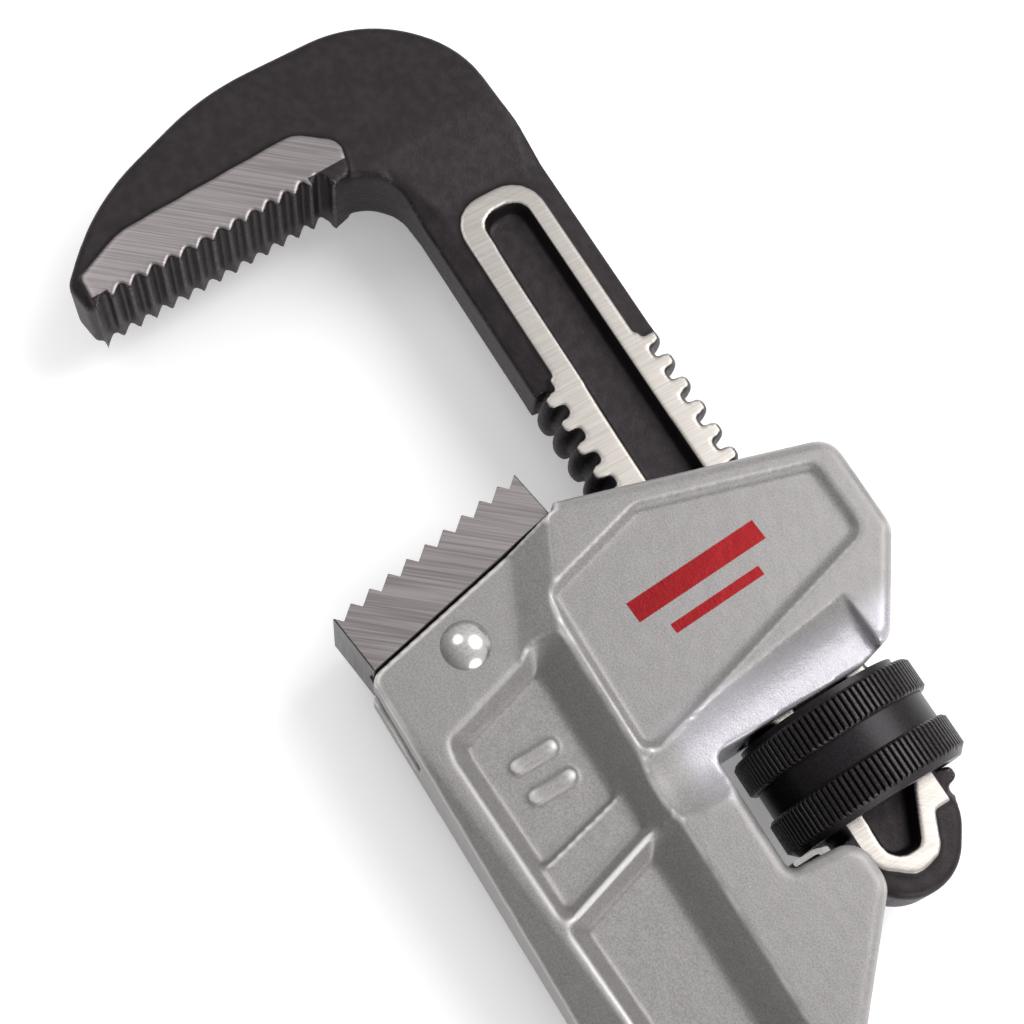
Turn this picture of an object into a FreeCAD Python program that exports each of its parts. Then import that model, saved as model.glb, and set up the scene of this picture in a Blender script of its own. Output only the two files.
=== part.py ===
"""Twelve-inch straight pipe wrench: cast handle, hook jaw, heel jaw, knurled nut and the jaw springs.

Frame, in millimetres: the origin is the hang hole's centre, halfway through the handle.
+X runs up the handle towards the hook jaw, +Y towards the open side of the jaws, and +Z is across
the wrench's thickness. The hook jaw's shank slides along X on the line y = SHANK_Y, z = 0.
"""
import FreeCAD, Part
import math
import os

V = FreeCAD.Vector

# ---- driving dimensions -------------------------------------------------------------------------
SHANK_Y = -40.0            # axis of the shank, thread and nut
HANDLE_FRONT = 15.0        # y of the front edge of the casting
HANDLE_BACK = -15.0        # y of the back edge of the grip
END_RADIUS = 13.2          # rounded end of the handle, around the hang hole
HANG_RADIUS = 5.0
CHEEK_HALF = 7.5           # half thickness of the grip and of the cheeks at the heel jaw
HEAD_HALF = 10.5           # half thickness of the housing round the shank
WEB_HALF = 4.6             # half thickness of the grip's web
WEB_BACK = -8.8            # y of the web recess's mouth along the rear flange

WINDOW_LOW = 137.4         # the nut's window, along X
WINDOW_HIGH = 156.5
WINDOW_FRONT = SHANK_Y + 19.0

THREAD_PITCH = 4.4
THREAD_RADIUS = 11.6       # crest of the shank's thread
ROOT_RADIUS = 9.6
THREAD_PHASE = 214.46      # x of one crest on the shank's front edge
SHANK_HALF = 5.4           # half thickness of the shank over its ground faces
NECK_HALF = 4.9            # the same over the forged skin beside them
SHANK_WIDE = 11.0          # half width of the shank where it has no thread
TAIL_END = 124.4
SHOULDER = 133.4           # below it the tail is full width; it stays below the nut at full travel
HOOK_START = 248.0         # x from which the hook's own forging begins
HOOK_TOP = 286.8
THREAD_END = 134.0
THREAD_START = 217.0
GUIDE_GAP = 0.4            # clearance beside the shank in its guide
FORK_FRONT = -25.9         # front wall of the shoulder's fork, behind the flat spring
ROCK_GAP = 3.0             # room behind the shank for the jaw to rock

JAW_HALF = 7.5             # half thickness of both jaws at their teeth
HOOK_HALF = 6.6            # half thickness of the rest of the hook
HOOK_TEETH = 14
HOOK_TOOTH_DEPTH = 1.7
HEEL_TEETH = 10
HEEL_TOOTH_DEPTH = 1.5
HEEL_SEAT_BACK = (199.0, -20.5)     # the seat that the heel jaw's block stands on
HEEL_SEAT_FRONT = (191.4, 13.9)
TONGUE_HALF = 2.6          # half thickness of the heel jaw's tongue
PIN_RADIUS = 2.5
PIN_FIT = 0.02             # radial clearance round the pin
PIN_AT = (188.4, 0.8)

NUT_LOW = 138.6
NUT_HIGH = 155.6
NUT_RADIUS = 15.2
NUT_GROOVE = 14.1          # radius at the bottom of the groove between the two knurled rims
NUT_LIP = 13.0             # radius of the plain lip above the upper rim
LIP_HIGH = 1.1
RIM_WIDE = 6.3
NUT_BORE = THREAD_RADIUS + 0.3
KNURLS = 100

SPRING_X = 131.0           # axis of the coil spring, which pushes along -Y
POCKET_FLOOR = -17.3       # y of the bottom of its pocket
PLATE_BACK = SHANK_Y + THREAD_RADIUS + 0.3     # the flat spring lies just off the thread's crests
PLATE_THICK = 0.8
PLATE_FRONT = PLATE_BACK + PLATE_THICK
PLATE_HALF = 4.2           # half width of the flat spring
TAB_TIP = -23.2            # y of the end of its tab
RIVET_RADIUS = 1.0
POCKET_RADIUS = 3.6        # bore that holds the coil spring


# ---- helpers ------------------------------------------------------------------------------------
def rounded_wire(corners, z=0.0):
    """Closed wire through (x, y, radius) corners; a radius of 0 leaves the corner sharp."""
    starts, ends = [], []
    count = len(corners)
    for i, (x, y, radius) in enumerate(corners):
        here = V(x, y, z)
        back = V(*corners[i - 1][:2], z) - here
        ahead = V(*corners[(i + 1) % count][:2], z) - here
        back.normalize()
        ahead.normalize()
        cut = radius / math.tan(back.getAngle(ahead) / 2) if radius else 0.0
        starts.append(here + back * cut)
        ends.append(here + ahead * cut)
    edges = []
    for i, (x, y, radius) in enumerate(corners):
        if radius:
            corner = V(x, y, z)
            inward = (starts[i] + ends[i]) * 0.5 - corner
            half = (starts[i] - corner).getAngle(inward)
            reach = radius / math.sin(half)
            inward.normalize()
            middle = corner + inward * (reach - radius)
            edges.append(Part.Arc(starts[i], middle, ends[i]).toShape())
        following = starts[(i + 1) % count]
        if ends[i].distanceToPoint(following) > 1e-6:
            edges.append(Part.LineSegment(ends[i], following).toShape())
    return Part.Wire(edges)


def plate(corners, low, high):
    """Upright prism over rounded corners, from z = low to z = high."""
    return Part.Face(rounded_wire(corners, low)).extrude(V(0, 0, high - low))


def prism_x(points, low, high):
    """Prism along X over (y, z) points."""
    corners = [V(low, y, z) for y, z in points]
    return Part.Face(Part.makePolygon(corners + corners[:1])).extrude(V(high - low, 0, 0))


def prism_y(points, low, high):
    """Prism along Y over (x, z) points."""
    corners = [V(x, low, z) for x, z in points]
    return Part.Face(Part.makePolygon(corners + corners[:1])).extrude(V(0, high - low, 0))


def widened(corners, shift):
    """The outline (x, y, radius) with every side moved outwards by shift; all its corners are convex."""
    middle = V(sum(x for x, y, radius in corners), sum(y for x, y, radius in corners), 0) / len(corners)
    moved = []
    for i, (x, y, radius) in enumerate(corners):
        here = V(x, y, 0)
        normals = []
        for other in (corners[i - 1], corners[(i + 1) % len(corners)]):
            side = V(other[0] - x, other[1] - y, 0)
            normal = V(-side.y, side.x, 0)
            normal.normalize()
            normals.append(normal if normal.dot(here - middle) > 0 else normal * -1)
        reach = shift / (1 + normals[0].dot(normals[1]))
        corner = here + (normals[0] + normals[1]) * reach
        moved.append((corner.x, corner.y, max(radius + shift, 0.05) if radius else 0))
    return moved


def frustum(corners, low, high, low_shift, high_shift):
    """Solid with sloping walls, between the outline widened by low_shift and by high_shift."""
    return Part.makeLoft([rounded_wire(widened(corners, low_shift), low),
                          rounded_wire(widened(corners, high_shift), high)], True, True)


def dish(corners, surface, depth, slope, above=3.0):
    """Cutter for a recess with sloping walls: corners outline its mouth at z = surface."""
    return frustum(corners, surface - depth, surface + above, -slope * depth, slope * above)


def both_sides(*shapes):
    """The shapes and their mirror images through z = 0."""
    return [*shapes, *(shape.mirror(V(0, 0, 0), V(0, 0, 1)) for shape in shapes)]


def rounded_edges(shape, radius, chosen):
    """Fillet every edge for which chosen(edge) is true."""
    return shape.makeFillet(radius, [edge for edge in shape.Edges if chosen(edge)])


def helix_ridge(profile, start, turns, mean_radius):
    """Right-hand helical ridge about the shank's axis; profile holds (radius, x offset) points."""
    helix = Part.makeHelix(THREAD_PITCH, THREAD_PITCH * turns, mean_radius)
    corners = [V(radius, 0, offset) for radius, offset in profile]
    ridge = Part.Wire(helix.Edges).makePipeShell([Part.makePolygon(corners + corners[:1])], True, True)
    along_x = FreeCAD.Rotation(V(0, 1, 0), V(0, 0, 1), V(1, 0, 0), "XYZ")
    ridge.Placement = FreeCAD.Placement(V(start, SHANK_Y, 0), along_x)
    return ridge


def disc_x(radius, low, high):
    """Cylinder about the shank's axis."""
    return Part.makeCylinder(radius, high - low, V(low, SHANK_Y, 0), V(1, 0, 0))


def saw_teeth(first, last, count, depth, lean, half):
    """Cutter for saw teeth from point first to point last; depth is along the left of that line.

    lean is the share of the pitch, from 0 to 1, at which each gap is deepest.
    """
    run = V(last[0] - first[0], last[1] - first[1], 0)
    left = V(-run.y, run.x, 0)
    left.normalize()
    points = [V(first[0], first[1], -half)]
    for i in range(count):
        points.append(points[0] + run * ((i + lean) / count) + left * depth)
        points.append(points[0] + run * ((i + 1) / count))
    points.append(points[-1] - left * 3)
    points.append(points[0] - left * 3)
    return Part.Face(Part.makePolygon(points + points[:1])).extrude(V(0, 0, 2 * half))


# ---- handle -------------------------------------------------------------------------------------
def grip_blank():
    """Cheeks and grip, as thick as the jaws."""
    return plate([
        (*HEEL_SEAT_BACK, 0), (*HEEL_SEAT_FRONT, 0.8), (190.4, HANDLE_FRONT, 0.8),
        (60, HANDLE_FRONT, 200), (0, END_RADIUS, 0), (-END_RADIUS, END_RADIUS, END_RADIUS - 0.05),
        (-END_RADIUS, -END_RADIUS, END_RADIUS - 0.05), (0, -END_RADIUS, 0), (60, HANDLE_BACK, 200),
        (116, HANDLE_BACK, 0), (116, -20, 0), (190, -20, 0)], -CHEEK_HALF, CHEEK_HALF)


def head_blank():
    """Housing, window surround and shoulder, with softly rounded outer edges."""
    head = plate([
        (200.2, -21.0, 0), (187.9, -62.6, 4), (171.6, -62.6, 3), (158.0, -52.8, 3), (156.5, -47.0, 3),
        (WINDOW_HIGH, WINDOW_FRONT, 1.4), (WINDOW_LOW, WINDOW_FRONT, 1.4), (136.6, -32.0, 4),
        (128.8, -32.0, 4), (111.0, HANDLE_BACK, 12), (105, HANDLE_BACK, 0), (105, -3.0, 0),
        (195.1, -3.0, 0), (*HEEL_SEAT_BACK, 0)], -HEAD_HALF, HEAD_HALF)
    return rounded_edges(head, 1.8, lambda edge: abs(abs(edge.CenterOfMass.z) - HEAD_HALF) < 0.01
                         and edge.CenterOfMass.y < WINDOW_FRONT - 0.5)


def back_flange():
    """The grip's rear flange, thinning towards the end of the handle."""
    outline = [V(2, -20, -6.5), V(2, -20, 6.5), V(20, -20, CHEEK_HALF), V(118, -20, 9.8),
               V(118, -20, -9.8), V(20, -20, -CHEEK_HALF)]
    slab = Part.Face(Part.makePolygon(outline + outline[:1])).extrude(V(0, 14, 0))
    return slab.common(plate([
        (2, HANDLE_BACK + 2.2, 0), (60, HANDLE_BACK, 100), (118, HANDLE_BACK, 0), (118, -6, 0),
        (2, -6, 0)], -12, 12))


def ledge_slopes():
    """Cutters that slope the thick head and rear flange down to the cheeks and the web."""
    top = HEAD_HALF + 3
    along_grip = prism_x([(WEB_BACK, CHEEK_HALF), (-10.6, HEAD_HALF), (-10.6, top), (0, top),
                          (0, CHEEK_HALF)], 24, 181.5)
    cheek = [V(181.5, y, z) for y, z in
             [(-10.6, HEAD_HALF), (-4.0, CHEEK_HALF), (12, CHEEK_HALF), (12, top), (-10.6, top)]]
    along_cheek = Part.Face(Part.makePolygon(cheek + cheek[:1])).extrude(V(22.3, -11.0, 0))
    return along_grip, along_cheek


def front_chamfer():
    """Broad chamfer down the front flange, growing from nothing beside the heel jaw."""
    reach, drop, top = 10, 6.2, CHEEK_HALF + 1.5

    def section(x, y):
        corners = [V(x, y, CHEEK_HALF), V(x, y + reach, CHEEK_HALF - drop), V(x, y + reach, top),
                   V(x, y, top)]
        return Part.Face(Part.makePolygon(corners + corners[:1]))
    growing = section(190, HANDLE_FRONT).extrude(V(-62, -6, 0))
    steady = section(128, HANDLE_FRONT - 6).extrude(V(-160, 0, 0))
    return growing, steady


def web_pockets():
    """Cutters for the grip's recessed web: a short field by the head and the long one beyond."""
    upper = dish([(183.4, WEB_BACK, 1.5), (177.9, 10.2, 2.5), (174.5, 10.8, 2), (147.0, 9.6, 0.6),
                  (152.2, WEB_BACK, 0.6)], CHEEK_HALF, CHEEK_HALF - WEB_HALF, 0.85)
    lower = dish([(152.2, WEB_BACK, 0.6), (147.0, 9.6, 0.6), (120, 8.2, 0), (30, 7.0, 3), (21, 0, 5),
                  (30, WEB_BACK, 3)], CHEEK_HALF, CHEEK_HALF - WEB_HALF, 0.85)
    return upper, lower


def web_pad():
    """Low raised bar across the web between its two fields."""
    return plate([(147.6, 9.0, 0), (151.5, -7.4, 0), (159.2, -7.4, 0), (155.4, 9.0, 0)],
                 0, WEB_HALF + 1.0)


def size_marks():
    """Two plain raised bars on the web, in place of any lettering."""
    bars = []
    for x in (170.0, 165.0):
        bar = plate([(x - 1.0, -3.4, 0.9), (x + 1.0, -3.4, 0.9), (x + 1.0, 4.2, 0.9), (x - 1.0, 4.2, 0.9)],
                    WEB_HALF - 0.5, WEB_HALF + 0.7)
        bars.append(bar)
    return bars


def side_panel():
    """Cutter for the flat sunken panel on the housing's side."""
    return dish([(188.6, -12.6, 1.5), (193.6, -31.0, 2.5), (185.6, -58.0, 2), (173.0, -58.2, 2.5),
                 (161.0, -14.5, 1.5), (162.6, -12.2, 1.5)], HEAD_HALF, 0.9, 1.1, 0.6)


def thumb_scoop():
    """Cutter for the shallow hollow between the side panel and the nut's window."""
    radius = 16.0
    low, high = V(156.0, -14.0, HEAD_HALF + radius - 0.9), V(158.0, -49.0, HEAD_HALF + radius - 2.4)
    spine = high - low
    tube = Part.makeCylinder(radius, spine.Length + 2, low, spine)
    tip = Part.makeSphere(radius, low)
    return tube.fuse(tip)


def shank_guide():
    """Cutter for the passage in which the shank slides and rocks."""
    front = SHANK_Y + THREAD_RADIUS + GUIDE_GAP
    back = SHANK_Y - THREAD_RADIUS - ROCK_GAP
    half = SHANK_HALF + GUIDE_GAP
    guide = Part.makeBox(60, front - back, 2 * half, V(150, back, -half))
    fork = Part.makeBox(50, FORK_FRONT + 80, 2 * half, V(100, -80, -half))
    return guide, fork


def heel_slot():
    """Cutter for the open slot that holds the heel jaw's tongue."""
    return plate([(205, -16.5, 0), (205, 30, 0), (177.5, 30, 0), (177.5, HANDLE_FRONT - 2.0, 1.5),
                  (184.0, -8.0, 3), (190.0, -16.5, 3)], -TONGUE_HALF - 0.1, TONGUE_HALF + 0.1)


def make_handle():
    body = grip_blank().fuse([head_blank(), back_flange()])
    along_grip, along_cheek = ledge_slopes()
    upper, lower = web_pockets()
    guide, fork = shank_guide()
    body = body.cut(both_sides(along_grip, along_cheek, *front_chamfer()))
    body = body.cut(both_sides(upper, lower, side_panel(), thumb_scoop()))
    body = body.fuse(both_sides(web_pad(), *size_marks()))
    pin_hole = Part.makeCylinder(PIN_RADIUS + PIN_FIT, 40, V(*PIN_AT, -20))
    hang_hole = Part.makeCylinder(HANG_RADIUS, 40, V(0, 0, -20))
    spring_pocket = Part.makeCylinder(POCKET_RADIUS, 30, V(SPRING_X, POCKET_FLOOR, 0), V(0, -1, 0))
    body = body.cut([guide, fork, heel_slot(), pin_hole, hang_hole, spring_pocket])
    return body.removeSplitter()


# ---- hook jaw -----------------------------------------------------------------------------------
def hook_outline():
    """Outline of the hook and the top of its shank."""
    back, front = SHANK_Y - SHANK_WIDE, SHANK_Y + SHANK_WIDE
    return [
        (HOOK_START, back, 0), (257.5, back, 30), (274.0, back + 0.8, 18), (HOOK_TOP, -39.0, 22),
        (HOOK_TOP, -10.0, 45), (278.0, 14.0, 40), (267.4, 23.6, 2.5), (262.4, 22.8, 1),
        (261.6, 20.6, 0), (263.2, -18.8, 0), (262.6, -19.6, 0), (262.2, -22.4, 0),
        (262.2, front, 7.5), (HOOK_START, front, 0)]


def hook_pad():
    """Raised ground pad beside the hook's teeth."""
    return [(261.0, 21.6, 0), (267.2, 21.6, 1), (271.2, 13.0, 12), (272.9, -18.6, 5), (268.2, -24.6, 3),
            (262.5, -23.0, 1.5), (261.0, -17.0, 0)]


def make_hook_jaw():
    hook = plate(hook_outline(), -HOOK_HALF, HOOK_HALF)
    outer = [edge for edge in hook.Edges if abs(abs(edge.CenterOfMass.z) - HOOK_HALF) < 0.01
             and (edge.CenterOfMass.y < -26 or edge.CenterOfMass.x > 266) and edge.Length > 3]
    hook = hook.makeFillet(1.4, outer)
    back, front = SHANK_Y - SHANK_WIDE, SHANK_Y + SHANK_WIDE
    neck = prism_x([(back, -NECK_HALF), (back, NECK_HALF), (front, NECK_HALF), (front, -NECK_HALF)],
                   THREAD_START, HOOK_START + 4)
    rounded_end = plate([(THREAD_START, SHANK_Y - 14, 3), (HOOK_START + 6, SHANK_Y - 14, 0),
                         (HOOK_START + 6, SHANK_Y + 14, 0), (THREAD_START, SHANK_Y + 14, 3)], -12, 12)
    blank = hook.fuse(neck.common(rounded_end)).cut(both_sides(*forged_drafts()))
    pad = plate(hook_pad(), -JAW_HALF, JAW_HALF)
    body = blank.fuse([pad, shank_core(), *both_sides(ground_strip()), *shank_thread()])
    teeth = saw_teeth((261.6, 21.4), (263.3, -19.4), HOOK_TEETH, HOOK_TOOTH_DEPTH, 0.7, JAW_HALF + 1)
    pocket = dish([(246.7, SHANK_Y - 4.6, 3), (246.7, SHANK_Y + 3.2, 3), (131.0, SHANK_Y + 4.8, 2.8),
                   (130.8, SHANK_Y - 0.2, 1.6), (139.4, SHANK_Y - 4.7, 3)], SHANK_HALF, 3.2, 0.2)
    return body.cut([teeth, *both_sides(pocket)]).removeSplitter()


def forged_drafts():
    """Cutters that thin the hook into its neck and draft the neck's two edges."""
    top, rise, draft = 12.0, HOOK_HALF - NECK_HALF, 1.5
    low, middle, high = THREAD_START - 1, HOOK_START + 2.5, HOOK_START + 15
    thinning = prism_y([(low, NECK_HALF), (middle, NECK_HALF), (high, HOOK_HALF), (high, top), (low, top)],
                       SHANK_Y - 15, SHANK_Y + 15)
    cutters = [thinning]
    for side in (-1, 1):
        corners = [(7.8, NECK_HALF), (SHANK_WIDE + 1, NECK_HALF - draft), (SHANK_WIDE + 1, top), (7.8, top)]
        edge = [V(low, SHANK_Y + side * y, z) for y, z in corners]
        cutters.append(Part.Face(Part.makePolygon(edge + edge[:1])).extrude(V(middle - low, 0, 0)))
        edge = [V(middle, SHANK_Y + side * y, z) for y, z in corners]
        run_out = V(high - middle, 0, rise + draft)
        cutters.append(Part.Face(Part.makePolygon(edge + edge[:1])).extrude(run_out))
    return cutters


def shank_core():
    """The round core inside the thread, cut to two flats and ending in a rounded tail.

    Above its shoulder the tail is turned down to pass through the nut.
    """
    half, flank = NECK_HALF, ROOT_RADIUS - 1.7
    core = disc_x(ROOT_RADIUS, THREAD_END, THREAD_START + 1)
    core = core.common(Part.makeBox(200, 40, 2 * SHANK_HALF, V(100, SHANK_Y - 20, -SHANK_HALF)))
    tail = plate([(THREAD_END + 6, SHANK_Y - flank, 0), (THREAD_END + 6, SHANK_Y + flank, 0),
                  (SHOULDER, SHANK_Y + ROOT_RADIUS, 3), (TAIL_END, SHANK_Y + ROOT_RADIUS, 8.2),
                  (TAIL_END, -43.2, 8.6), (133.0, SHANK_Y - ROOT_RADIUS, 8.6)], -half, half)
    rim = [edge for edge in tail.Edges if abs(abs(edge.CenterOfMass.z) - half) < 0.01
           and edge.CenterOfMass.x < THREAD_END + 4]
    turned, low, high = ROOT_RADIUS + 0.2, SHOULDER, THREAD_END + 8
    collar = disc_x(2 * turned, low, high).cut(disc_x(turned, low - 1, high + 1))
    return core.fuse(tail.makeFillet(1.3, rim).cut(collar))


def ground_strip():
    """The raised flat, round the pocket, that is ground bright."""
    return frustum([(249.8, SHANK_Y - 7.2, 5.5), (249.8, SHANK_Y + 6.9, 5.5), (131.5, SHANK_Y + 7.4, 4),
                    (127.6, SHANK_Y + 2.4, 3), (128.6, SHANK_Y - 2.2, 3), (139.5, SHANK_Y - 7.4, 4)],
                   NECK_HALF - 0.4, SHANK_HALF, 0.35, 0)


def shank_thread():
    """The thread's ridges, cut back to the shank's two flat faces."""
    profile = [(ROOT_RADIUS - 0.6, -1.3), (THREAD_RADIUS - 0.9, -1.15), (THREAD_RADIUS - 0.25, -0.9),
               (THREAD_RADIUS, -0.45), (THREAD_RADIUS, 0.45), (THREAD_RADIUS - 0.25, 0.9),
               (THREAD_RADIUS - 0.9, 1.15), (ROOT_RADIUS - 0.6, 1.3)]
    turns = math.ceil((THREAD_START - THREAD_END) / THREAD_PITCH) + 2
    start = THREAD_PHASE - THREAD_PITCH * (turns - 1)
    ridge = helix_ridge(profile, start, turns, ROOT_RADIUS)
    keep = Part.makeBox(THREAD_START - THREAD_END, 30, 2 * SHANK_HALF,
                        V(THREAD_END, SHANK_Y - 15, -SHANK_HALF))
    return ridge.common(keep).Solids


# ---- heel jaw, pin ------------------------------------------------------------------------------
def make_heel_jaw():
    block = plate([(207.3, -18.9, 0), (201.6, 15.2, 0), (191.75, 14.0, 0), (199.25, -20.2, 0)],
                  -JAW_HALF, JAW_HALF)
    block = block.makeChamfer(0.2, [edge for edge in block.Edges
                                    if abs(abs(edge.CenterOfMass.z) - JAW_HALF) < 0.01])
    teeth = saw_teeth((207.4, -19.2), (201.6, 15.3), HEEL_TEETH, HEEL_TOOTH_DEPTH, 0.7, JAW_HALF + 1)
    tongue = plate([(198.5, -16.3, 0), (192.5, 14.4, 0), (178.0, HANDLE_FRONT - 0.4, 1),
                    (178.0, HANDLE_FRONT - 1.7, 1.2), (184.4, -7.7, 2.5), (190.2, -16.3, 2.5)],
                   -TONGUE_HALF, TONGUE_HALF)
    hole = Part.makeCylinder(PIN_RADIUS + PIN_FIT, 40, V(*PIN_AT, -20))
    return block.cut(teeth).fuse(tongue).cut(hole).removeSplitter()


def make_heel_jaw_pin():
    shaft = Part.makeCylinder(PIN_RADIUS, 2 * CHEEK_HALF, V(*PIN_AT, -CHEEK_HALF))
    dome_height, head_radius = 1.7, 3.75
    ball = (head_radius ** 2 + dome_height ** 2) / (2 * dome_height)
    dome = Part.makeSphere(ball, V(*PIN_AT, CHEEK_HALF + dome_height - ball))
    dome = dome.common(Part.makeCylinder(head_radius, dome_height + 1, V(*PIN_AT, CHEEK_HALF)))
    return shaft.fuse(both_sides(dome))


# ---- adjusting nut ------------------------------------------------------------------------------
def make_adjusting_nut():
    lower_rim = (NUT_LOW, NUT_LOW + RIM_WIDE)
    upper_rim = (NUT_HIGH - RIM_WIDE, NUT_HIGH - LIP_HIGH)
    body = disc_x(NUT_GROOVE, lower_rim[0], upper_rim[1]).fuse(disc_x(NUT_LIP, NUT_LOW, NUT_HIGH))
    for low, high in (lower_rim, upper_rim):
        rim = disc_x(NUT_RADIUS, low, high)
        rim = rim.makeChamfer(0.5, [edge for edge in rim.Edges if len(edge.Vertexes) == 1])
        body = body.fuse(rim)
    slope = Part.makeCone(NUT_RADIUS - 2.3, NUT_RADIUS + 1.7, 4.0, V(NUT_LOW - 1, SHANK_Y, 0), V(1, 0, 0))
    skirt = disc_x(20, NUT_LOW - 1, NUT_LOW + 3).cut(slope)
    body = body.cut([disc_x(NUT_BORE, NUT_LOW - 1, NUT_HIGH + 1), skirt])
    inner = ROOT_RADIUS + 0.4
    profile = [(inner, -0.55), (NUT_BORE + 0.6, -0.8), (NUT_BORE + 0.6, 0.8), (inner, 0.55)]
    turns = math.ceil((NUT_HIGH - NUT_LOW) / THREAD_PITCH) + 2
    start = THREAD_PHASE + THREAD_PITCH * (0.5 - math.ceil((THREAD_PHASE - NUT_LOW) / THREAD_PITCH) - 1)
    keep = Part.makeBox(NUT_HIGH - NUT_LOW, 40, 40, V(NUT_LOW, SHANK_Y - 20, -20))
    ridge = helix_ridge(profile, start, turns, NUT_BORE).common(keep)
    return body.fuse(ridge.Solids).cut(knurl_grooves(lower_rim, upper_rim)).removeSplitter()


def knurl_grooves(*rims):
    """Straight V grooves all round both rims."""
    grooves = []
    deep, wide = NUT_RADIUS - 0.45, 0.36
    for low, high in rims:
        mouth = NUT_RADIUS + 0.2
        corners = [V(low - 1, deep, 0), V(low - 1, mouth, -wide), V(low - 1, mouth, wide)]
        groove = Part.Face(Part.makePolygon(corners + corners[:1])).extrude(V(high - low + 2, 0, 0))
        for i in range(KNURLS):
            turned = groove.copy()
            turned.rotate(V(0, 0, 0), V(1, 0, 0), 360 * i / KNURLS)
            turned.translate(V(0, SHANK_Y, 0))
            grooves.append(turned)
    return grooves


# ---- springs ------------------------------------------------------------------------------------
def make_flat_spring():
    """Strip that rides on the thread's crests, with a tab bent forward under the nut."""
    top = WINDOW_LOW + 0.15
    strip = plate([(125.6, PLATE_BACK, 0), (125.2, PLATE_FRONT, 0.4), (top, PLATE_FRONT, 0.6),
                   (top, TAB_TIP, 0.3), (top + PLATE_THICK, TAB_TIP, 0.3),
                   (top + PLATE_THICK, PLATE_BACK, 1.4)], -PLATE_HALF, PLATE_HALF)
    return strip.cut(Part.makeCylinder(RIVET_RADIUS, 8, V(SPRING_X, PLATE_BACK - 2, 0), V(0, 1, 0)))


def make_spring_rivet():
    shaft = Part.makeCylinder(RIVET_RADIUS, PLATE_THICK + 0.2, V(SPRING_X, PLATE_BACK, 0), V(0, 1, 0))
    head = Part.makeCylinder(1.9, 1.3, V(SPRING_X, PLATE_FRONT, 0), V(0, 1, 0))
    return shaft.fuse(head)


def make_coil_spring():
    wire, radius, turns = 0.45, 2.75, 5.5
    near = PLATE_FRONT + 0.1 + wire
    length = POCKET_FLOOR - 0.1 - wire - near
    helix = Part.makeHelix(length / turns, length, radius)
    section = Part.Wire(Part.makeCircle(wire, V(radius, 0, 0), V(0, 1, 0)))
    coil = Part.Wire(helix.Edges).makePipeShell([section], True, True)
    coil.rotate(V(0, 0, 0), V(1, 0, 0), -90)
    coil.translate(V(SPRING_X, near, 0))
    return coil


MAKERS = {
    "handle": make_handle,
    "hook_jaw": make_hook_jaw,
    "heel_jaw": make_heel_jaw,
    "heel_jaw_pin": make_heel_jaw_pin,
    "adjusting_nut": make_adjusting_nut,
    "flat_spring": make_flat_spring,
    "spring_rivet": make_spring_rivet,
    "coil_spring": make_coil_spring,
}

os.makedirs("parts", exist_ok=True)
for name, make in MAKERS.items():
    shape = make()
    shape.exportStep(f"parts/{name}.step")
    box = shape.BoundBox
    print(f"{name}: {len(shape.Solids)} solid, valid {shape.isValid()}, {shape.Volume / 1000:.2f} cm3, "
          f"x {box.XMin:.1f} to {box.XMax:.1f}, y {box.YMin:.1f} to {box.YMax:.1f}, "
          f"z {box.ZMin:.1f} to {box.ZMax:.1f}")
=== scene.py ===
# %% [markdown]
# A pipe wrench is a few solid pieces with very different skins: a sprayed casting, a black forging
# with bright ground faces, a ground steel jaw and a knurled nut. The CAD model already has every
# piece in its place, so this lesson loads it as a fixed frame, gives each piece the soft edges that
# casting, forging or grinding leaves, and then paints each skin with nodes.

import bpy
import numpy as np
from mathutils import Matrix, Vector


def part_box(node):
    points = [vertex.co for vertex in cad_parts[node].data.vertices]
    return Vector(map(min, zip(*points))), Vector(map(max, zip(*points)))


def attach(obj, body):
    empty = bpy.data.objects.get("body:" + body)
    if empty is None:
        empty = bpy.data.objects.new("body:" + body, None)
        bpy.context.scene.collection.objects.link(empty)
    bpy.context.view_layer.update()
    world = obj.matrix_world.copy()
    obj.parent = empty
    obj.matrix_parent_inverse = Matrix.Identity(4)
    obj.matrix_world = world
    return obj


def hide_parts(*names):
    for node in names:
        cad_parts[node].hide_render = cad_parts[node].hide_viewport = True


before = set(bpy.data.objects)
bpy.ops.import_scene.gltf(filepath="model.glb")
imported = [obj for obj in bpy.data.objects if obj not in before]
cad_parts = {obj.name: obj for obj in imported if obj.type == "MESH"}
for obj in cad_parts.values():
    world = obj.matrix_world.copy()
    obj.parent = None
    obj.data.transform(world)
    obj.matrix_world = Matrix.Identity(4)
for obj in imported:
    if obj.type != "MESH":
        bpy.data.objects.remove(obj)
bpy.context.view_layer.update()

# %% [markdown]
# The places that the looks depend on come from the frame: the shank's axis, and the planes of the
# jaws' and the head's side faces. The pattern work is easier to read in millimetres, as on a
# drawing, so MM turns those sizes into metres.

# %% Places read from the frame
MM = 0.001
nut_low, nut_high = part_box("adjusting_nut")
shank_y = (nut_low.y + nut_high.y) / 2 / MM
jaw_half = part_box("hook_jaw")[1].z / MM
head_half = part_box("handle")[1].z / MM
print(f"shank axis y {shank_y:.1f}, jaw half {jaw_half:.2f}, head half {head_half:.2f} mm")

# %% [markdown]
# Operators act on whatever is selected, and loading leaves every CAD node selected. These helpers
# select one piece only, copy a CAD node as a merged mesh, and add and apply one modifier.

# %% Helpers for pieces
WELD = 0.002 * MM           # corners closer than this are one corner


def only(piece):
    bpy.ops.object.select_all(action="DESELECT")
    piece.select_set(True)
    bpy.context.view_layer.objects.active = piece


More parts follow.
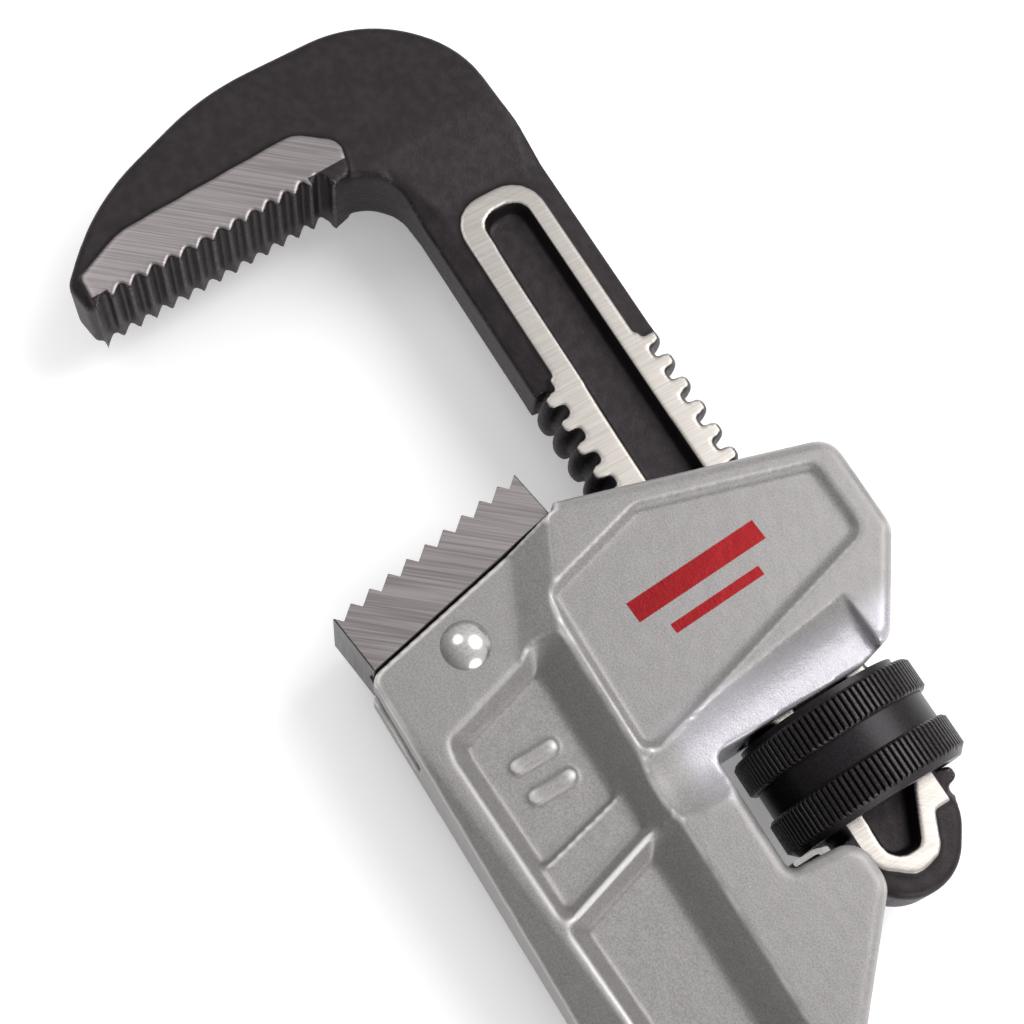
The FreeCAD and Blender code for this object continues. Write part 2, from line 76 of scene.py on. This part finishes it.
def merged_copy(node, name):
    piece = bpy.data.objects.new(name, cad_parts[node].data.copy())
    bpy.context.scene.collection.objects.link(piece)
    piece.data.materials.clear()
    only(piece)
    bpy.ops.mesh.customdata_custom_splitnormals_clear()
    bpy.ops.object.mode_set(mode="EDIT")
    bpy.ops.mesh.select_all(action="SELECT")
    bpy.ops.mesh.remove_doubles(threshold=WELD)
    bpy.ops.object.mode_set(mode="OBJECT")
    return piece


def finish_with(piece, kind, **settings):
    only(piece)
    modifier = piece.modifiers.new(kind.lower(), kind)
    for key, value in settings.items():
        setattr(modifier, key, value)
    bpy.ops.object.modifier_apply(modifier=modifier.name)


def triangles(piece):
    return sum(len(face.vertices) - 2 for face in piece.data.polygons)


# %% [markdown]
# A casting has no sharp edges: the mould rounds each one by about a millimetre. Rounding them one
# by one with a bevel is fragile on a shape with this many cuts. Remeshing to small, even quads and
# smoothing those rounds every edge and corner together, as the mould does. A weight per vertex
# holds back the smoothing where a face was ground or a tooth cut afterwards.

# %% Soft edges by remeshing
MOST_TRIANGLES = 195000     # the most triangles a softened piece keeps; a piece may have 200,000


def points_of(mesh):
    flat = np.empty(len(mesh.vertices) * 3)
    mesh.vertices.foreach_get("co", flat)
    return flat.reshape(-1, 3)


def soften(piece, voxel, passes, sharp):
    """Rounds every edge; sharp tells how much of that each point is spared, from 0 to 1."""
    finish_with(piece, "REMESH", mode="VOXEL", voxel_size=voxel * MM)
    group = piece.vertex_groups.new(name="soft")
    weights = (1.0 - sharp(points_of(piece.data) / MM)).round(1)
    for weight in np.unique(weights):
        group.add(np.flatnonzero(weights == weight).tolist(), float(weight), "REPLACE")
    finish_with(piece, "SMOOTH", factor=0.5, iterations=passes, vertex_group="soft")
    finish_with(piece, "DECIMATE", ratio=min(1.0, MOST_TRIANGLES / triangles(piece)))
    only(piece)
    bpy.ops.object.shade_smooth()
    print(f"{piece.name}: {triangles(piece)} triangles after softening")


# %% [markdown]
# Wear shows first on the ridges, and the casting's painted highlights and painted shade follow ridges
# and hollows too. How far a vertex stands out from its neighbours tells a ridge from a hollow, so
# that number is stored on the mesh, where the materials can read it.

# %% Measure the ridges
NO_LENGTH = 1e-12           # square metres, so that two corners in one place don't divide by 0


def mark_ridges(piece, spread=3):
    mesh = piece.data
    points = points_of(mesh)
    normals = np.empty(len(mesh.vertices) * 3)
    mesh.vertices.foreach_get("normal", normals)
    normals = normals.reshape(-1, 3)
    ends = np.empty(len(mesh.edges) * 2, dtype=np.int32)
    mesh.edges.foreach_get("vertices", ends)
    ends = ends.reshape(-1, 2)
    both = np.vstack([ends, ends[:, ::-1]])
    step = points[both[:, 1]] - points[both[:, 0]]
    bend = -(step * normals[both[:, 0]]).sum(1) / np.maximum((step ** 2).sum(1), NO_LENGTH)
    count = np.maximum(np.bincount(both[:, 0], minlength=len(points)), 1)
    ridge = np.bincount(both[:, 0], bend, len(points)) / count
    for _ in range(spread):
        ridge = 0.5 * ridge + 0.5 * np.bincount(both[:, 0], ridge[both[:, 1]], len(points)) / count
    attribute = mesh.attributes.new("ridge", "FLOAT", "POINT")
    attribute.data.foreach_set("value", (ridge * MM).astype(np.float32))
    print(f"{piece.name}: ridge from {ridge.min() * MM:.2f} to {ridge.max() * MM:.2f} per mm")


# %% [markdown]
# The handle is one aluminium casting. Its copy is remeshed at just under half a millimetre. The seat
# under the heel jaw is milled and slopes a little, so it keeps most of its edge, and the two pieces
# meet in a fine line.

# %% The handle
SEAT_X, SEAT_Y = 191.4, 13.9        # a point on the seat
SEAT_SLOPE = 0.221                  # x lost per mm of y
SEAT_END = -21.0                    # y where the seat meets the housing
SEAT_NEAR = 1.3                     # points this close to the seat keep their edge


def machined_seat(points):
    x, y, _ = points.T
    off_seat = abs((x - SEAT_X) + (y - SEAT_Y) * SEAT_SLOPE)
    return np.where((off_seat < SEAT_NEAR) & (y > SEAT_END), 0.8, 0.0)


handle = merged_copy("handle", "handle_casting")
soften(handle, voxel=0.42, passes=7, sharp=machined_seat)
mark_ridges(handle)

# %% [markdown]
# The hook jaw is a forging with soft edges everywhere except where it was cut: the teeth and the
# thread. Those keep most of their edge.

# %% The hook jaw
TEETH_LOW, TEETH_HIGH = 255.0, 264.2        # x of the teeth, tips to roots
TEETH_SIDE = -20.5                          # y past which they start
THREAD_TOP = 218.4                          # x below which the shank is threaded
THREAD_FROM_AXIS = 8.5                      # the thread lies further than this from the axis


def cut_faces(points):
    x, y, _ = points.T
    teeth = (x < TEETH_HIGH) & (x > TEETH_LOW) & (y > TEETH_SIDE)
    thread = (x < THREAD_TOP) & (abs(y - shank_y) > THREAD_FROM_AXIS)
    return np.where(teeth | thread, 0.75, 0.0)


hook = merged_copy("hook_jaw", "hook_forging")
soften(hook, voxel=0.36, passes=6, sharp=cut_faces)
mark_ridges(hook)

# %% [markdown]
# Ground and turned pieces keep flat faces and crisp edges, with only a tiny bevel that catches the
# light. The CAD triangles in one plane are first joined into one face, so the bevel is clean.

# %% Crisp pieces
ONE_PLANE = 0.01            # radians; faces that turn less than this are joined into one
SMOOTH_BELOW = 35           # degrees; an edge that turns more than this is shaded sharp


def crisp(node, name, width, angle=25, segments=2):
    piece = merged_copy(node, name)
    bpy.ops.object.mode_set(mode="EDIT")
    bpy.ops.mesh.select_all(action="SELECT")
    bpy.ops.mesh.dissolve_limited(angle_limit=ONE_PLANE)
    bpy.ops.object.mode_set(mode="OBJECT")
    finish_with(piece, "BEVEL", width=width * MM, segments=segments, limit_method="ANGLE",
                angle_limit=np.radians(angle), harden_normals=False, use_clamp_overlap=True)
    only(piece)
    bpy.ops.object.shade_smooth_by_angle(angle=np.radians(SMOOTH_BELOW))
    finish_with(piece, "WEIGHTED_NORMAL", keep_sharp=True)
    print(f"{piece.name}: {triangles(piece)} triangles")
    return piece


heel = crisp("heel_jaw", "heel_jaw_block", width=0.12)
nut = crisp("adjusting_nut", "knurled_nut", width=0.05, angle=20, segments=1)
rivet = crisp("heel_jaw_pin", "domed_rivet", width=0.08)

# %% [markdown]
# Each new piece stands for its CAD node and rides on the same body, so every pose moves it.

# %% Ride and replace
for piece, node, body, finish_slot in (
        (handle, "handle", "handle", "handle_casting"),
        (hook, "hook_jaw", "hook_jaw", "forged_jaw"),
        (heel, "heel_jaw", "handle", "ground_jaw"),
        (nut, "adjusting_nut", "adjusting_nut", "black_nut"),
        (rivet, "heel_jaw_pin", "handle", "rivet")):
    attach(piece, body)
    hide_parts(node)
    print(f"{piece.name} stands for {node} on body {body}")

# %% [markdown]
# Shader maths reads best as ordinary arithmetic. A Wire wraps one socket, and each operator on it
# adds a Math node. A Finish is one material, with one method that adds any node.

# %% Shader maths
class Wire:
    """One socket of a material; arithmetic on it adds Math nodes."""

    def __init__(self, finish, socket):
        self.finish = finish
        self.socket = socket

    def math(self, operation, *values):
        return self.finish.add("ShaderNodeMath", {"operation": operation}, dict(enumerate(values)))

    def __add__(self, other):
        return self.math("ADD", self, other)

    def __sub__(self, other):
        return self.math("SUBTRACT", self, other)

    def __rsub__(self, other):
        return self.math("SUBTRACT", other, self)

    def __mul__(self, other):
        return self.math("MULTIPLY", self, other)

    def __abs__(self):
        return self.math("ABSOLUTE", self)

    __radd__ = __add__
    __rmul__ = __mul__

    def most(self, other):
        return self.math("MAXIMUM", self, other)

    def rises(self, start, end):
        """0 below start, 1 above end, with a smooth step between them."""
        return self.finish.add("ShaderNodeMapRange", {"interpolation_type": "SMOOTHSTEP"},
                               {"Value": self, "From Min": start, "From Max": end})

    def near(self, middle, start, end):
        """1 within start of middle, 0 further off than end, with a smooth step between them."""
        return 1.0 - abs(self - middle).rises(start, end)


class Finish:
    """A material made of nodes round one Principled shader."""

    # The Mix node has sockets for each type of data: first input, second input, output.
    MIX_SOCKETS = {"VECTOR": (4, 5, 1), "RGBA": (6, 7, 2)}

    def __init__(self, name):
        self.material = bpy.data.materials.new(name)
        self.material.use_nodes = True
        self.tree = self.material.node_tree
        self.shader = self.tree.nodes["Principled BSDF"]
        self.place = self.add("ShaderNodeTexCoord", {}, {}, "Object")

    def add(self, kind, settings, inputs, output=0):
        node = self.tree.nodes.new(kind)
        for key, value in settings.items():
            setattr(node, key, value)
        for key, value in inputs.items():
            self.feed(node.inputs[key], value)
        return Wire(self, node.outputs[output])

    def feed(self, socket, value):
        if isinstance(value, Wire):
            self.tree.links.new(value.socket, socket)
        else:
            socket.default_value = value

    def axes(self):
        """The x, y and z of the surface point, in millimetres."""
        split = self.add("ShaderNodeSeparateXYZ", {}, {"Vector": self.place})
        outputs = split.socket.node.outputs
        return [Wire(self, outputs[i]) * (1 / MM) for i in range(3)]

    def grain(self, size, detail=2.0, roughness=0.5):
        """Noise from 0 to 1 whose lumps are about size millimetres across."""
        return self.add("ShaderNodeTexNoise", {}, {
            "Vector": self.place, "Scale": 1 / (size * MM), "Detail": detail, "Roughness": roughness})

    def streaks(self, across, along, turn):
        """Noise drawn out into straight lines, turned about z by turn radians."""
        mapped = self.add("ShaderNodeMapping", {"vector_type": "TEXTURE"}, {
            "Vector": self.place, "Rotation": (0, 0, turn),
            "Scale": (across * MM, along * MM, along * MM)})
        return self.add("ShaderNodeTexNoise", {}, {"Vector": mapped, "Scale": 1.0, "Detail": 3.0})

    def mix(self, share, first, second, data_type="RGBA"):
        """Goes from first to second as share goes from 0 to 1; a plain colour is red, green, blue."""
        low, high, output = self.MIX_SOCKETS[data_type]
        values = [v if isinstance(v, Wire) else (*v, 1.0) for v in (first, second)]
        return self.add("ShaderNodeMix", {"data_type": data_type},
                        {0: share, low: values[0], high: values[1]}, output)

    def ridge(self):
        return self.add("ShaderNodeAttribute", {"attribute_name": "ridge"}, {}, "Fac")

    def bump(self, height, depth, under=None):
        """Normal for a height from 0 to 1 that stands depth millimetres high."""
        inputs = {"Height": height, "Distance": depth * MM, "Strength": 1.0}
        if under:
            inputs["Normal"] = under
        return self.add("ShaderNodeBump", {}, inputs)

    def wear(self, **sockets):
        for name, value in sockets.items():
            self.feed(self.shader.inputs[name.replace("_", " ")], value)

    def put_on(self, *pieces):
        for piece in pieces:
            piece.data.materials.clear()
            piece.data.materials.append(self.material)
        print(f"{self.material.name}: {len(self.tree.nodes)} nodes")


# %% [markdown]
# The casting is sprayed with a warm grey coat that has a fine, slightly hammered grain. The grain
# is a bump of a few hundredths of a millimetre with a matching speckle of colour. Ridges get a
# painted highlight and hollows get painted shade, and the scoop by the nut's window gets a lilac
# painted highlight. The side panel carries two plain red bars. A mask is a number that is 1 where a
# colour belongs and 0 elsewhere.

# %% Masks on the casting
BARS_X, BARS_Y = 180.5, -33.5       # middle of the long red bar
BARS_COS, BARS_SIN = 0.998, 0.06    # the bars are turned a little from the y axis
BAR_EDGE = 0.05                     # half width of a bar's soft edge
WINDOW_X, WALL_Y = 147.0, -21.0     # middle of the nut's window, and its wall on the +Y side
SCOOP_X, SCOOP_Y = 157.0, -18.0     # the scoop at the top of that window


def bar(across, along, middle, half_width, half_length):
    """1 inside a plain straight bar, 0 outside it."""
    side = across.near(middle, half_width - BAR_EDGE, half_width + BAR_EDGE)
    return side * along.near(0.0, half_length - BAR_EDGE, half_length + BAR_EDGE)


def two_bars(x, y, z):
    """A long and a short bar, on the sunk face of the side panel only."""
    along = (x - BARS_X) * BARS_SIN - (y - BARS_Y) * BARS_COS
    across = (x - BARS_X) * BARS_COS + (y - BARS_Y) * BARS_SIN
    sunk = abs(z).rises(head_half - 1.5, head_half - 1.2) * z.near(0.0, head_half - 0.6, head_half - 0.4)
    return bar(across, along, 0.0, 1.7, 11.5).most(bar(across, along, -5.2, 0.8, 8.0)) * sunk


def window_wall(x, y, z):
    """The wall that the nut shades."""
    return x.near(WINDOW_X, 9.4, 9.9) * y.near(WALL_Y, 0.15, 0.6) * z.near(0.0, 8.4, 9.8)


def scoop_floor(x, y):
    """The smooth hollow in the housing, at the window's upper end."""
    return x.near(SCOOP_X, 4.0, 9.0) * (1.0 - (y - SCOOP_Y).rises(-2.0, 4.0))


# %% [markdown]
# Each colour below is what the coat shows in one place, and a mask chooses where it shows. Some of
# them are painted light: a highlight on ridges and in the scoop, and shade in hollows and on the
# nut's window wall.

# %% The casting's coat
COAT_DARK, COAT_PALE = (0.205, 0.196, 0.192), (0.285, 0.274, 0.269)
# the third colour is a painted highlight for ridges, the fourth is painted shade for hollows
RIDGE_HIGHLIGHT, HOLLOW_SHADE = (0.74, 0.72, 0.70), (0.085, 0.078, 0.075)
# painted shade for the nut's window wall, then a lilac painted highlight for the scoop
WALL_SHADE, SCOOP_HIGHLIGHT = (0.012, 0.011, 0.011), (0.46, 0.44, 0.50)
RED_DARK, RED_PALE = (0.17, 0.004, 0.006), (0.22, 0.006, 0.009)


def casting_coat():
    coat = Finish("speckled_casting")
    x, y, z = coat.axes()
    ridge = coat.ridge()
    fine, broad = coat.grain(0.30, 2.0, 0.6), coat.grain(2.6, 2.0)
    red, scoop = two_bars(x, y, z), scoop_floor(x, y)
    colour = coat.mix((fine * 0.85 + broad * 0.15).rises(0.30, 0.70), COAT_DARK, COAT_PALE)
    # painted highlight: ridges are made brighter in the colour itself
    colour = coat.mix(ridge.rises(0.06, 0.32) * 0.75, colour, RIDGE_HIGHLIGHT)
    # painted shade: hollows and creases are made darker in the colour itself
    colour = coat.mix((0.0 - ridge).rises(0.06, 0.4) * 0.65, colour, HOLLOW_SHADE)
    colour = coat.mix(window_wall(x, y, z) * 0.9, colour, WALL_SHADE)
    colour = coat.mix(red, colour, coat.mix(fine.rises(0.3, 0.7), RED_DARK, RED_PALE))
    # painted highlight: the scoop's lilac sheen is put into the colour
    colour = coat.mix(scoop * 0.6, colour, SCOOP_HIGHLIGHT)
    rough = 0.40 + (fine - 0.5) * 0.22 - red * 0.08 - scoop * 0.12
    normal = coat.bump(broad, 0.05, coat.bump(fine, 0.022))
    coat.wear(Base_Color=colour, Roughness=rough, Metallic=0.35 + red * 0.45, Normal=normal)
    return coat


casting_coat().put_on(handle)

# %% [markdown]
# The forging is black scale over steel, rough and slightly brown, rubbed bright in specks along its
# outer ridges. Grinding left two kinds of bright face: the pad beside the teeth, with diagonal
# lines, and a strip on the shank's sides, round its pocket and over its thread.

# %% Masks on the forging
PAD_LOW, PAD_SLOPE = 263.0, 0.042       # x of the pad's lower edge at y 21, and its slope
PAD_FROM = 21.0
TOOTH_Y, TOOTH_HALF = 1.0, 17.6         # middle and half length of the row of teeth
STRIP_Z, STRIP_TOP = 5.2, 250.3         # its faces are further than this from z 0, and end at this x
TAIL_TOP, TAIL_HALF = 141.0, 7.4        # below this x it keeps this close to the shank's axis


def pad_mask(x, y, z):
    above = (x - (PAD_LOW - (y - PAD_FROM) * PAD_SLOPE)).rises(0.15, 0.3)
    beside_teeth = y.near(TOOTH_Y, TOOTH_HALF, TOOTH_HALF + 0.2)
    return abs(z).rises(jaw_half - 0.22, jaw_half - 0.12) * beside_teeth.most(above)


def strip_mask(x, y, z):
    below_top = 1.0 - (x - STRIP_TOP).rises(0.0, 0.2)
    in_tail = y.near(shank_y, TAIL_HALF, TAIL_HALF + 0.2)
    above_tail = (x - TAIL_TOP).rises(0.0, 0.3)
    return abs(z).rises(STRIP_Z, STRIP_Z + 0.1) * below_top * above_tail.most(in_tail)


# %% The forging's scale and ground faces
GRIND_TURN = -0.69                      # radians from the y axis to the diagonal grinding lines
SCALE_DARK, SCALE_PALE = (0.022, 0.018, 0.020), (0.031, 0.025, 0.028)
SCALE_RUBBED = (0.20, 0.185, 0.18)
PAD_DARK, PAD_PALE = (0.205, 0.183, 0.183), (0.295, 0.268, 0.268)
STRIP_DARK, STRIP_PALE = (0.37, 0.345, 0.32), (0.47, 0.44, 0.41)


def forged_scale():
    skin = Finish("forged_black")
    x, y, z = skin.axes()
    fine, coarse = skin.grain(0.35, 3.0, 0.65), skin.grain(1.8, 3.0)
    lines, strip_lines = skin.streaks(0.22, 20.0, GRIND_TURN), skin.streaks(0.12, 9.0, 0.0)
    strip = strip_mask(x, y, z)
    ground = pad_mask(x, y, z).most(strip)
    black = skin.mix(coarse.rises(0.3, 0.7), SCALE_DARK, SCALE_PALE)
    rubbed = skin.ridge().rises(0.16, 0.5) * fine.rises(0.50, 0.62)
    black = skin.mix(rubbed * 0.6, black, SCALE_RUBBED)
    steel = skin.mix(strip, skin.mix(lines.rises(0.35, 0.65), PAD_DARK, PAD_PALE),
                     skin.mix(strip_lines.rises(0.3, 0.7), STRIP_DARK, STRIP_PALE))
    rough = (0.50 + (fine - 0.5) * 0.3) * (1.0 - ground) + (0.36 + (lines - 0.5) * 0.2) * ground
    scale_bump = skin.bump(coarse, 0.10, skin.bump(fine, 0.05))
    normal = skin.mix(ground, scale_bump, skin.bump(lines, 0.012), "VECTOR")
    skin.wear(Base_Color=skin.mix(ground, black, steel), Roughness=rough,
              Metallic=0.75 + ground * 0.15, Normal=normal)
    return skin


forged_scale().put_on(hook)

# %% [markdown]
# The heel jaw is ground on both sides, with diagonal lines, and darker where it was left as cut.

# %% The ground jaw
GROUND_DARK, GROUND_PALE = (0.170, 0.150, 0.150), (0.260, 0.235, 0.235)
CUT_DARK, CUT_PALE = (0.035, 0.031, 0.031), (0.075, 0.067, 0.067)


def ground_jaw():
    steel = Finish("ground_steel")
    _, _, z = steel.axes()
    lines = steel.streaks(0.24, 20.0, GRIND_TURN)
    mottle = steel.grain(3.0, 3.0)
    face = abs(z).rises(jaw_half - 0.1, jaw_half - 0.03)
    bright = steel.mix(lines.rises(0.3, 0.7), GROUND_DARK, GROUND_PALE)
    dark = steel.mix(mottle.rises(0.3, 0.7), CUT_DARK, CUT_PALE)
    steel.wear(Base_Color=steel.mix(face, dark, bright), Roughness=0.38 + (lines - 0.5) * 0.2,
               Metallic=0.55 + face * 0.3, Normal=steel.bump(lines, 0.015))
    return steel


ground_jaw().put_on(heel)

# %% [markdown]
# The nut is black oxide, rubbed brighter on the tips of its knurls.

# %% The black nut
OXIDE_DARK, OXIDE_PALE = (0.014, 0.012, 0.014), (0.026, 0.023, 0.025)
OXIDE_RUBBED = (0.06, 0.055, 0.057)
TIPS_FROM, TIPS_TO = 15.02, 15.18       # radius over which the knurls' tips go bright


def black_oxide():
    oxide = Finish("black_oxide")
    _, y, z = oxide.axes()
    squared = (y - shank_y) * (y - shank_y) + z * z
    radius = squared.math("SQRT", squared)
    fine = oxide.grain(0.3, 3.0, 0.6)
    tips = radius.rises(TIPS_FROM, TIPS_TO) * fine.rises(0.3, 0.7)
    black = oxide.mix(fine.rises(0.3, 0.7), OXIDE_DARK, OXIDE_PALE)
    oxide.wear(Base_Color=oxide.mix(tips * 0.6, black, OXIDE_RUBBED),
               Roughness=0.36 + (fine - 0.5) * 0.2, Metallic=0.75, Normal=oxide.bump(fine, 0.012))
    return oxide


black_oxide().put_on(nut)

# %% [markdown]
# The rivet is bright, and the springs are drawn spring steel with a fine line along them.

# %% Bright steel
def bright_steel(name, colour, roughness, scratch):
    steel = Finish(name)
    lines = steel.streaks(0.08, 3.0, 0.0)
    spots = steel.grain(0.5, 3.0)
    darker = [0.6 * channel for channel in colour]
    shade = steel.mix(lines.rises(0.3, 0.7) * spots.rises(0.3, 0.8), colour, darker)
    steel.wear(Base_Color=shade, Roughness=roughness + (spots - 0.5) * 0.15, Metallic=1.0,
               Normal=steel.bump(lines, scratch))
    return steel


bright_steel("rivet_steel", (0.70, 0.69, 0.68), 0.20, 0.004).put_on(rivet)
springs = [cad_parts[node] for node in ("flat_spring", "spring_rivet", "coil_spring")]
bright_steel("spring_steel", (0.27, 0.26, 0.25), 0.38, 0.006).put_on(*springs)

# %% [markdown]
# The wrench lies on a pale, faintly glowing sheet that fills the view.

# %% Floor
FLOOR_SIZE, FLOOR_X = 6.0, 0.15         # metres
FLOOR_GAP = 0.02 * MM                   # the sheet is this far under the nut, the lowest point
bpy.ops.mesh.primitive_plane_add(size=FLOOR_SIZE, location=(FLOOR_X, 0, nut_low.z - FLOOR_GAP))
floor = bpy.context.object
floor.name = "floor"
paper = Finish("pale_floor")
paper.wear(Base_Color=paper.mix(paper.grain(40.0), (0.90, 0.895, 0.90), (0.92, 0.915, 0.92)),
           Roughness=0.7, Emission_Color=(1.0, 0.99, 1.0, 1.0), Emission_Strength=0.22)
paper.put_on(floor)

# %% [markdown]
# The lights are easiest to place from the picture, so their places are distances to the picture's
# right, up and back towards the camera. A large soft light stands to the upper right, with weaker
# ones to the lower right and upper left.

# %% Lights
camera_right = Vector((-0.5221, -0.8504, 0.0646))
camera_up = Vector((0.8169, -0.4768, 0.3246))
camera_back = camera_right.cross(camera_up)
aim = Vector((0.200, -0.020, 0.0))      # a point in the head


def soft_light(name, size, watts, right, up, back):
    data = bpy.data.lights.new(name, "AREA")
    data.shape, data.size, data.energy = "DISK", size, watts
    light = bpy.data.objects.new(name, data)
    bpy.context.scene.collection.objects.link(light)
    light.location = aim + camera_right * right + camera_up * up + camera_back * back
    light.rotation_euler = (light.location - aim).to_track_quat("Z", "Y").to_euler()
    print(f"{name}: {watts} W, {size} m across")


soft_light("key", size=0.60, watts=4.2, right=0.50, up=0.45, back=0.55)
soft_light("fill", size=0.50, watts=2.6, right=0.45, up=-0.55, back=0.45)
soft_light("left", size=0.50, watts=1.2, right=-0.35, up=0.60, back=0.60)

# %% [markdown]
# The white sky dims towards +Y, so that the walls on that side go dark. The strength follows the
# dot product of the ray's direction with the brightest direction.

# %% Sky
BRIGHTEST = (0.0, -0.8, 0.6)
FADE_FROM, FADE_TO = -0.75, 0.75        # dot products
DIM, BRIGHT = 0.16, 0.80                # strengths


def dimming_sky(world):
    world.use_nodes = True
    nodes, links = world.node_tree.nodes, world.node_tree.links
    direction = nodes.new("ShaderNodeTexCoord")
    towards = nodes.new("ShaderNodeVectorMath")
    towards.operation = "DOT_PRODUCT"
    towards.inputs[1].default_value = BRIGHTEST
    fade = nodes.new("ShaderNodeMapRange")
    limits = {"From Min": FADE_FROM, "From Max": FADE_TO, "To Min": DIM, "To Max": BRIGHT}
    for socket, value in limits.items():
        fade.inputs[socket].default_value = value
    links.new(direction.outputs["Generated"], towards.inputs[0])
    links.new(towards.outputs["Value"], fade.inputs["Value"])
    links.new(fade.outputs["Result"], nodes["Background"].inputs["Strength"])
    nodes["Background"].inputs["Color"].default_value = (1, 1, 1, 1)


sky = bpy.data.worlds.new("sky")
dimming_sky(sky)
bpy.context.scene.world = sky
bpy.context.scene.view_settings.view_transform = "Standard"
print(f"sky strength from {DIM} to {BRIGHT}")

# %% [markdown]
# The camera looks steeply down on the wrench, with the hook at the top of the picture and the heel
# jaw's side on the left.

# %% Camera
CAMERA_PLACE = (0.1302, 0.0498, 0.2848)     # metres
camera_data = bpy.data.cameras.new("camera")
camera_data.lens, camera_data.sensor_width = 70.3, 36.0
camera = bpy.data.objects.new("camera", camera_data)
bpy.context.scene.collection.objects.link(camera)
turn = Matrix((camera_right, camera_up, camera_back)).transposed().to_4x4()
camera.matrix_world = Matrix.Translation(CAMERA_PLACE) @ turn
bpy.context.scene.camera = camera
distance = (camera.matrix_world.translation - aim).length
print(f"camera of {camera_data.lens:.1f} mm, {distance:.3f} m from a point in the head")
